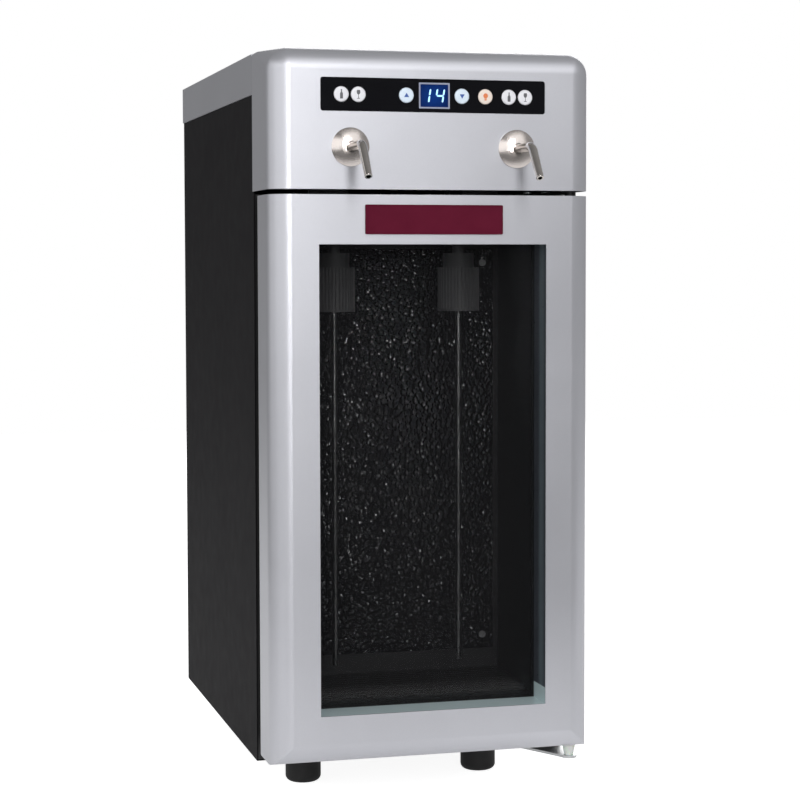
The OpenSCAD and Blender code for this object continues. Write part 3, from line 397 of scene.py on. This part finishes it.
def grid_faces(rows, columns, start=0, closed=False):
    """Four-sided faces of a grid of rows by columns, closed round the columns if asked."""
    r = np.arange(rows - 1)[:, None] * columns
    c = np.arange(columns if closed else columns - 1)[None, :]
    after = (c + 1) % columns
    quad = np.stack([r + c, r + after, r + columns + after, r + columns + c], -1)
    return quad.reshape(-1, 4) + start


def rounded_loop(x, z, width, height, corner, steps=8):
    """A rectangle's outline with round corners, as x and z, anticlockwise."""
    sweep = np.linspace(0, np.pi / 2, steps)
    parts = []
    for quarter, (sx, sz) in enumerate(((1, 1), (-1, 1), (-1, -1), (1, -1))):
        a = sweep + quarter * np.pi / 2
        parts.append(np.column_stack([x + sx * (width / 2 - corner) + corner * np.cos(a),
                                      z + sz * (height / 2 - corner) + corner * np.sin(a)]))
    return np.vstack(parts)


def round_loop(x, z, radius, steps=32):
    """A circle's outline, as x and z."""
    a = np.linspace(0, 2 * np.pi, steps, endpoint=False)
    return np.column_stack([x + radius * np.cos(a), z + radius * np.sin(a)])


def flat_faces(loops):
    """Triangles that fill a flat outline and leave its holes, for loops of x and z."""
    flat = [np.column_stack([loop, np.zeros(len(loop))]).tolist() for loop in loops]
    return [tuple(t) for t in tessellate_polygon(flat)]


def surface_normals(grid):
    """The unit normals of a grid of points: the cross product of its two directions of change."""
    normal = np.cross(np.gradient(grid, axis=1), np.gradient(grid, axis=0))
    return normal / np.maximum(np.linalg.norm(normal, axis=-1, keepdims=True), 1e-12)


def band(first, second, closed=False):
    """Four-sided faces between two chains of point numbers."""
    chain = np.stack([first, second])
    after = np.roll(chain, -1, axis=1)
    quads = np.stack([chain[0], after[0], after[1], chain[1]], -1)
    return [tuple(q) for q in (quads if closed else quads[:-1])]


# The skin's loops, from the back to where the edge turns over, then round the turn.
round_back = head_front + head_round
depth_steps = np.concatenate([[head_back, square_back],
                              np.linspace(square_back, round_back, side_steps)[1:]])
rounded = np.clip((square_back - depth_steps) / (square_back - round_back), 0, 1) * head_round
sections = [head_section(y, 0.0, max(c, least_round)) for y, c in zip(depth_steps, rounded)]
for a in np.linspace(0, np.pi / 2, turn_steps)[1:]:
    inset = head_round * (1 - math.cos(a))
    sections.append(head_section(round_back - head_round * math.sin(a), inset,
                                 max(head_round - inset, 1e-7)))
outer = np.stack(sections)
facing = surface_normals(outer)
facing *= -np.sign(facing[0, 0, 0])
facing[-1] = (0, -1, 0)

# The flat front inside the turn, with its openings, once outside and once inside.
inner = head_half - head_round
strip_centre = (strip_low + strip_high) / 2
front_loops = [
    np.array([[-inner, head_low], [inner, head_low],
              [inner, head_top - head_round], [-inner, head_top - head_round]]),
    rounded_loop(strip_centre[0], strip_centre[2], cut_wide, cut_high, cut_corner)]
for low, high in rosette_boxes:
    centre = (low + high) / 2
    front_loops.append(round_loop(centre[0], centre[2], spout_hole))
flat = np.vstack(front_loops)
front_side, back_side = at_depth(flat, head_front), at_depth(flat, head_front + skin)

# Outer skin, inner skin, the two flats, and the edges that join each pair.
rows, columns = outer.shape[:2]
count, flat_count = rows * columns, len(flat)
points = np.vstack([outer.reshape(-1, 3), (outer - skin * facing).reshape(-1, 3),
                    front_side, back_side])
facing = np.vstack([facing.reshape(-1, 3), facing.reshape(-1, 3),
                    np.tile((0, -1, 0), (2 * flat_count, 1))])
faces = [tuple(f) for start in (0, count) for f in grid_faces(rows, columns, start)]
faces += [tuple(start + i for i in t) for start in (2 * count, 2 * count + flat_count)
          for t in flat_faces(front_loops)]
over_back = np.arange(columns)
left_foot = np.arange(rows) * columns
along_foot = np.concatenate([left_foot, (left_foot + columns - 1)[::-1]])
faces += band(over_back, over_back + count) + band(along_foot, along_foot + count)
start = 2 * count + len(front_loops[0])
for loop in front_loops[1:]:
    edge = start + np.arange(len(loop))
    faces += band(edge, edge + flat_count, closed=True)
    start += len(loop)
head_shell = mesh_piece("head_shell", points, faces, "case", facing)
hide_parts("head_cover")
front_paint = silver_paint("front_paint", (0.500, 0.504, 0.542), (0.580, 0.584, 0.624), 0.40)
front_paint.on(head_shell)


# ---------------------------------------------------------------- control strip
# A black glossy strip set into the head cover, with a small display in a thin
# pale frame. The display's blue ground is lit most at its middle.

strip_gloss = Finish("strip_gloss", Specular_IOR_Level=0.3)
strip_gloss.tint((0.003, 0.003, 0.004), (0.006, 0.006, 0.008), strip_gloss.noise(20, 2))
strip_gloss.set("Roughness", 0.09 + 0.06 * strip_gloss.noise(45, 3))
strip_gloss.on("control_fascia")

display_rim = Finish("display_rim", Roughness=0.35, Metallic=0.3)
display_rim.tint((0.27, 0.29, 0.39), (0.34, 0.36, 0.46), display_rim.noise(300, 1))
display_rim.on("display_frame")

lens_low, lens_high = (np.array(c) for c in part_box("display_lens"))
lens_centre = (lens_low + lens_high) / 2
display_blue = Finish("display_blue", Roughness=0.12, Emission_Strength=0.14,
                      Specular_IOR_Level=0.3)
from_middle = display_blue.length(display_blue.place((1.0, 0.0, 1.2), tuple(lens_centre)))
display_blue.tint((0.002, 0.010, 0.06), (0.004, 0.022, 0.12), display_blue.noise(130, 2))
display_blue.set("Emission Color", display_blue.between(
    (0.010, 0.14, 0.85), (0.003, 0.03, 0.20), display_blue.spread(from_middle, 1 * mm, 12 * mm)))
display_blue.on("display_lens")


# ---------------------------------------------------------------- display digits
# Two slanted seven-bar digits, lit pale cyan, on the display's blue ground.
# Each lit bar is a thin plate, pointed at both ends, just proud of the lens.

digit_high, digit_wide, bar = 10.8 * mm, 5.6 * mm, 1.3 * mm
slant = math.tan(math.radians(9))
digit_out, digit_thick = 0.12 * mm, 0.2 * mm


def digit_bars(lit):
    """The outlines of a digit's lit bars, b, c, f or g, as x and z around its middle."""
    h, w, b = digit_high / 2, digit_wide / 2, bar / 2
    gap = 0.22 * mm

    def upright(x, low, high):
        return [(x, low + gap), (x + b, low + gap + b), (x + b, high - gap - b),
                (x, high - gap), (x - b, high - gap - b), (x - b, low + gap + b)]

    middle = [(-w + gap, 0), (-w + gap + b, -b), (w - gap - b, -b),
              (w - gap, 0), (w - gap - b, b), (-w + gap + b, b)]
    shapes = {"b": upright(w, 0, h), "c": upright(w, -h, 0), "f": upright(-w, 0, h), "g": middle}
    return [np.array(shapes[name]) for name in lit]


def raised_shape(outlines, front, thickness):
    """Prisms between two depths over flat outlines, as points and faces."""
    points, faces = [], []
    start = 0
    for outline in outlines:
        count = len(outline)
        points += [at_depth(outline, front), at_depth(outline, front + thickness)]
        for side in (start, start + count):
            faces += [tuple(side + t for t in tri) for tri in flat_faces([outline])]
        edge = start + np.arange(count)
        faces += band(edge, edge + count, closed=True)
        start += 2 * count
    return np.vstack(points), faces


bars = []
for lit, offset in (("bc", -6.6 * mm), ("fgbc", 4.6 * mm)):
    for outline in digit_bars(lit):
        leaning = outline[:, 0] + offset + slant * outline[:, 1]
        bars.append(np.column_stack([lens_centre[0] + leaning, lens_centre[2] + outline[:, 1]]))
points, faces = raised_shape(bars, lens_low[1] - digit_out, digit_thick)
digits = mesh_piece("display_digits", points, faces, "case")
lit_cyan = Finish("lit_cyan", Roughness=0.4, Emission_Color=(0.42, 0.72, 1.0, 1.0),
                  Emission_Strength=0.95)
lit_cyan.tint((0.2, 0.5, 0.7), (0.3, 0.6, 0.8), lit_cyan.noise(900, 1))
lit_cyan.on(digits)


# ---------------------------------------------------------------- keys
# Moulded round keys with a flat face and a softly rounded edge. A lip behind
# the strip holds each one in, and a stem reaches its switch. Two bottle and
# glass pairs pour, the arrows set the temperature and the bulb the light.

key_radius, key_edge = 6 * mm, 1.2 * mm
lip_from_back, lip_thick, stem_radius = 5 * mm, 1 * mm, 2.5 * mm
mark_out, mark_thick = 0.05 * mm, 0.12 * mm


def turned_form(profile, x, z, segments=48):
    """A form of revolution about a line along Y: profile rows are radius and depth."""
    radius, depth = np.array(profile).T
    angle = np.linspace(0, 2 * np.pi, segments, endpoint=False)
    ring = np.stack([x + radius[:, None] * np.cos(angle),
                     np.repeat(depth[:, None], segments, 1),
                     z + radius[:, None] * np.sin(angle)], -1)
    faces = grid_faces(len(profile), segments, closed=True)
    return ring.reshape(-1, 3), [tuple(f) for f in faces]


def arc_points(x, z, radius, first, last, steps):
    """Points on an arc, angles in degrees."""
    a = np.radians(np.linspace(first, last, steps))
    return np.column_stack([x + radius * np.cos(a), z + radius * np.sin(a)])


def mirrored(half):
    """Closes a right-hand outline with its mirror image about x = 0."""
    half = np.asarray(half, float)
    return np.vstack([half, half[::-1] * [-1, 1]])


# The marks are in millimetres around each key's middle.
bottle_mark = [mirrored([(1.05, -3.5), (1.15, -3.3), (1.15, 0.2), (0.95, 0.9), (0.45, 1.5),
                         (0.42, 3.1), (0.52, 3.2), (0.52, 3.6)])]
glass_mark = [mirrored([(1.25, -3.4), (1.2, -3.1), (0.25, -2.9), (0.2, -0.3), (0.9, 0.2),
                        (1.35, 1.1), (1.4, 2.0), (1.15, 3.3)])]
up_mark = [np.array([(-2.0, -1.5), (2.0, -1.5), (0.0, 1.9)])]
down_mark = [np.array([(-2.0, 1.5), (0.0, -1.9), (2.0, 1.5)])]
bulb_mark = [np.vstack([arc_points(0, 0.7, 1.9, -55, 235, 25), [(-0.9, -1.6), (0.9, -1.6)]]),
             mirrored([(0.9, -2.9), (0.9, -1.9)])]
keys = {
    "left_bottle_button": ("pale", bottle_mark, "grey"),
    "left_glass_button": ("pale", glass_mark, "grey"),
    "temperature_up_button": ("ice", up_mark, "blue"),
    "temperature_down_button": ("ice", down_mark, "blue"),
    "light_button": ("cream", bulb_mark, "orange"),
    "right_bottle_button": ("pale", bottle_mark, "grey"),
    "right_glass_button": ("pale", glass_mark, "grey"),
}
cap_finish, mark_finish = {}, {}
for name, low, high in (("pale", (0.75, 0.75, 0.79), (0.84, 0.84, 0.88)),
                        ("ice", (0.66, 0.77, 0.88), (0.75, 0.85, 0.95)),
                        ("cream", (0.80, 0.69, 0.61), (0.89, 0.78, 0.70))):
    finish = cap_finish[name] = Finish("key_" + name, Roughness=0.32)
    finish.tint(low, high, finish.noise(260, 2))
    finish.relief(finish.noise(3000, 1), 0.03 * mm, 0.4)
for name, colour in (("grey", (0.09, 0.09, 0.10)), ("blue", (0.015, 0.07, 0.30)),
                     ("orange", (0.62, 0.17, 0.05))):
    finish = mark_finish[name] = Finish("mark_" + name, Roughness=0.5)
    finish.tint(colour, tuple(1.35 * c for c in colour), finish.noise(1500, 1))
for node, (cap_name, mark, mark_name) in keys.items():
    low, high = (np.array(c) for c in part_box(node))
    x, z, front, back = (low[0] + high[0]) / 2, (low[2] + high[2]) / 2, low[1], high[1]
    a = np.linspace(0, np.pi / 2, 7)
    rounding = np.column_stack([key_radius - key_edge + key_edge * np.sin(a),
                                front + key_edge - key_edge * np.cos(a)])
    lip = back - lip_from_back
    profile = np.vstack([[(0, front)], [(0.5 * (key_radius - key_edge), front)], rounding,
                         [(key_radius, lip), (high[0] - x, lip), (high[0] - x, lip + lip_thick),
                          (stem_radius, lip + lip_thick), (stem_radius, back), (0, back)]])
    points, faces = turned_form(profile, x, z)
    cap = mesh_piece(node.replace("_button", "_key"), points, faces, node)
    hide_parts(node)
    outlines = [outline * mm + [x, z] for outline in mark]
    points, faces = raised_shape(outlines, front - mark_out, mark_thick)
    ink = mesh_piece(node.replace("_button", "_mark"), points, faces, node)
    cap_finish[cap_name].on(cap)
    mark_finish[mark_name].on(ink)


# ---------------------------------------------------------------- spouts
# Domed rosettes of nickel-plated brass, brushed in rings round their middles,
# each with a bent and polished tube coming out of it.

rings_per_metre = 4200.0
for side, (low, high) in zip(("left", "right"), rosette_boxes):
    brushed = Finish(side + "_brushed_nickel", Metallic=1.0)
    radius = brushed.length(brushed.place((1, 0, 1), tuple((low + high) / 2)))
    ring_place = brushed.node("ShaderNodeCombineXYZ", {}, {0: rings_per_metre * radius})
    rings = brushed.noise(1.0, 2, ring_place)
    brushed.tint((0.54, 0.49, 0.465), (0.74, 0.685, 0.655), rings)
    brushed.set("Roughness", 0.20 + 0.08 * rings)
    brushed.relief(rings, 0.06 * mm)
    brushed.on(side + "_rosette")

    polished = Finish(side + "_polished_nickel", Metallic=1.0)
    polished.tint((0.54, 0.505, 0.475), (0.66, 0.625, 0.595), polished.noise(120, 3))
    polished.set("Roughness", 0.09 + 0.06 * polished.noise(300, 2))
    polished.on(side + "_spout")


# ---------------------------------------------------------------- dispensing heads
# Ribbed screw-on caps in black plastic, each round a stainless draw tube that
# ends a little above the bay's floor.

ribbed = Finish("ribbed_black")
ribbed.tint((0.105, 0.105, 0.108), (0.150, 0.150, 0.154), ribbed.noise(80, 3))
ribbed.set("Roughness", 0.36 + 0.14 * ribbed.noise(400, 2))
ribbed.on("left_head", "right_head")

stainless = Finish("stainless", Metallic=1.0)
drawn = stainless.noise(120, 2, stainless.place((40.0, 40.0, 1.0)))
stainless.tint((0.22, 0.22, 0.22), (0.30, 0.30, 0.30), drawn)
stainless.set("Roughness", 0.2 + 0.14 * drawn)
stainless.on("left_draw_tube", "right_draw_tube")


# ---------------------------------------------------------------- door
# A silver frame that matches the head cover, lined with a satin trim around
# the window, with two tinted panes on a dark spacer. The trim's colour holds
# painted light: a pale painted lit sill, painted shade up the sides and one
# lighter painted reflection band there.

front_paint.on("door_frame")

sill_top = 96.5 * mm
reflection_band_middle = case_front - 59 * mm
trim = Finish("window_trim")
depth = trim.node("ShaderNodeSeparateXYZ", {}, {0: trim.place()}, "Y")
height = trim.node("ShaderNodeSeparateXYZ", {}, {0: trim.place()}, "Z")
above_sill = height > sill_top
# Up the sides: painted shade where the trim mirrors the dark bay, and a lighter painted
# reflection band at one depth.
off_reflection_band = trim.spread(abs(depth - reflection_band_middle), 3 * mm, 9 * mm) + 0.3 * trim.noise(60, 3)
sides = trim.between((0.20, 0.25, 0.28), (0.08, 0.09, 0.11), off_reflection_band)
# The pale colour below the sill's top is painted light on the lit ledge.
trim.tint((0.56, 0.68, 0.70), sides, above_sill)
trim.set("Metallic", 0.15 + 0.35 * above_sill)
trim.set("Roughness", 0.24 + 0.14 * trim.noise(200, 2))
trim.on("window_trim")

spacer = Finish("pane_spacer", Roughness=0.4, Metallic=0.5)
spacer.tint((0.025, 0.028, 0.03), (0.05, 0.055, 0.06), spacer.noise(500, 1))
spacer.on("glass_spacer")

pane = Finish("tinted_pane", Roughness=0.03)
pane.tint((0.012, 0.012, 0.013), (0.022, 0.022, 0.024), pane.noise(6, 2))
pane.set("Alpha", 0.13 + 0.02 * pane.noise(4, 2))
pane.on("outer_glass", "inner_glass")


# ---------------------------------------------------------------- badge plate
# A thin metal plate with a raised rim, fixed to the door's upper rail. It is
# enamelled in glossy burgundy and left plain.

enamel = Finish("burgundy_enamel", Specular_IOR_Level=0.3)
enamel.tint((0.09, 0.006, 0.02), (0.125, 0.011, 0.03), enamel.noise(55, 3))
enamel.set("Roughness", 0.11 + 0.06 * enamel.noise(120, 2))
enamel.on("badge_plate")


# ---------------------------------------------------------------- floor and light
# A white table top that keeps the cabinet's soft shadow, in a dim studio with
# five lamps: a tall narrow one in front, broad ones at the left and above,
# and weaker ones behind and beside. The camera sees only white behind.

floor_left, floor_right, floor_front, floor_back = -0.75, 2.5, -0.6, 3.6
white, floor_grey = (1.0, 1.0, 1.0, 1.0), (0.78, 0.78, 0.78, 1.0)
into_picture = (0.258, 0.964, -0.058)
front_right = (0.26, -0.96, 0.0)
rightwards = (1.0, 0.0, 0.0)


def ray_kinds(tree):
    """Whether a ray comes from the camera, and whether it comes off or through a piece."""
    camera_ray, glossy_ray, glass_ray = (
        tree.node("ShaderNodeLightPath", {}, {}, kind + " Ray")
        for kind in ("Is Camera", "Is Glossy", "Is Transmission"))
    return camera_ray, glossy_ray.highest(glass_ray)


floor_mesh = bpy.data.meshes.new("floor")
floor_mesh.from_pydata(
    [(floor_left, floor_front, 0), (floor_right, floor_front, 0),
     (floor_right, floor_back, 0), (floor_left, floor_back, 0)], [], [(0, 1, 2, 3)])
floor = bpy.data.objects.new("floor", floor_mesh)
bpy.context.scene.collection.objects.link(floor)
floor_paper = bpy.data.materials.new("floor_paper")
floor_paper.use_nodes = True
floor_paper.node_tree.nodes.clear()
floor_paper.cycles.emission_sampling = "NONE"
paper = Nodes(floor_paper.node_tree)
to_camera, to_piece = ray_kinds(paper)
plain = paper.node("ShaderNodeBsdfDiffuse", {}, {"Color": floor_grey})
lit = paper.node("ShaderNodeEmission", {}, {"Strength": 0.90 * to_camera + 0.40 * to_piece})
paper.node("ShaderNodeOutputMaterial", {}, {
    "Surface": paper.node("ShaderNodeAddShader", {}, {0: plain, 1: lit})})
floor_mesh.materials.append(floor_paper)

world = bpy.data.worlds.new("studio")
world.use_nodes = True
bpy.context.scene.world = world
world.node_tree.nodes.clear()
studio = Nodes(world.node_tree)


def towards(direction):
    """How far the direction that is looked in agrees with another one, from -1 to 1."""
    looked_in = studio.node("ShaderNodeTexCoord", {}, {}, "Generated")
    return studio.node("ShaderNodeVectorMath", {"operation": "DOT_PRODUCT"}, {
        0: looked_in, 1: direction}, "Value")


to_camera, to_piece = ray_kinds(studio)
white_paper = studio.spread(towards(into_picture), 0.93, 0.97)
seen = to_camera.highest(white_paper * to_piece)
dark_part = studio.spread(towards(front_right), 0.80, 0.97)
room = 0.27 + 0.10 * towards(rightwards) - 0.22 * dark_part
studio.node("ShaderNodeOutputWorld", {}, {"Surface": studio.node(
    "ShaderNodeBackground", {}, {"Color": white, "Strength": seen + (1 - seen) * room})})


def soft_light(name, place, aim, size, power):
    """A rectangular lamp at a place, turned towards a point; size is width and height."""
    data = bpy.data.lights.new(name, "AREA")
    data.shape = "RECTANGLE"
    data.size, data.size_y = size
    data.energy = power
    lamp = bpy.data.objects.new(name, data)
    bpy.context.scene.collection.objects.link(lamp)
    lamp.location = place
    lamp.rotation_euler = (Vector(aim) - Vector(place)).to_track_quat("-Z", "Y").to_euler()
    lamp.visible_camera = False


soft_light("front_light", (-0.15, -2.5, 1.08), (0.0, -0.07, 0.4), (0.36, 1.7), 26)
soft_light("left_light", (-2.06, -1.71, 1.1), (0.0, -0.1, 0.35), (3.4, 2.0), 27)
soft_light("upper_light", (0.6, -1.95, 1.85), (0.0, -0.1, 0.45), (2.4, 2.0), 14.5)
soft_light("back_light", (1.1, 2.6, 1.5), (0.0, 0.2, 0.35), (1.6, 1.6), 30)
soft_light("side_light", (-2.4, 0.5, 1.0), (0.0, 0.1, 0.4), (1.4, 2.0), 7)
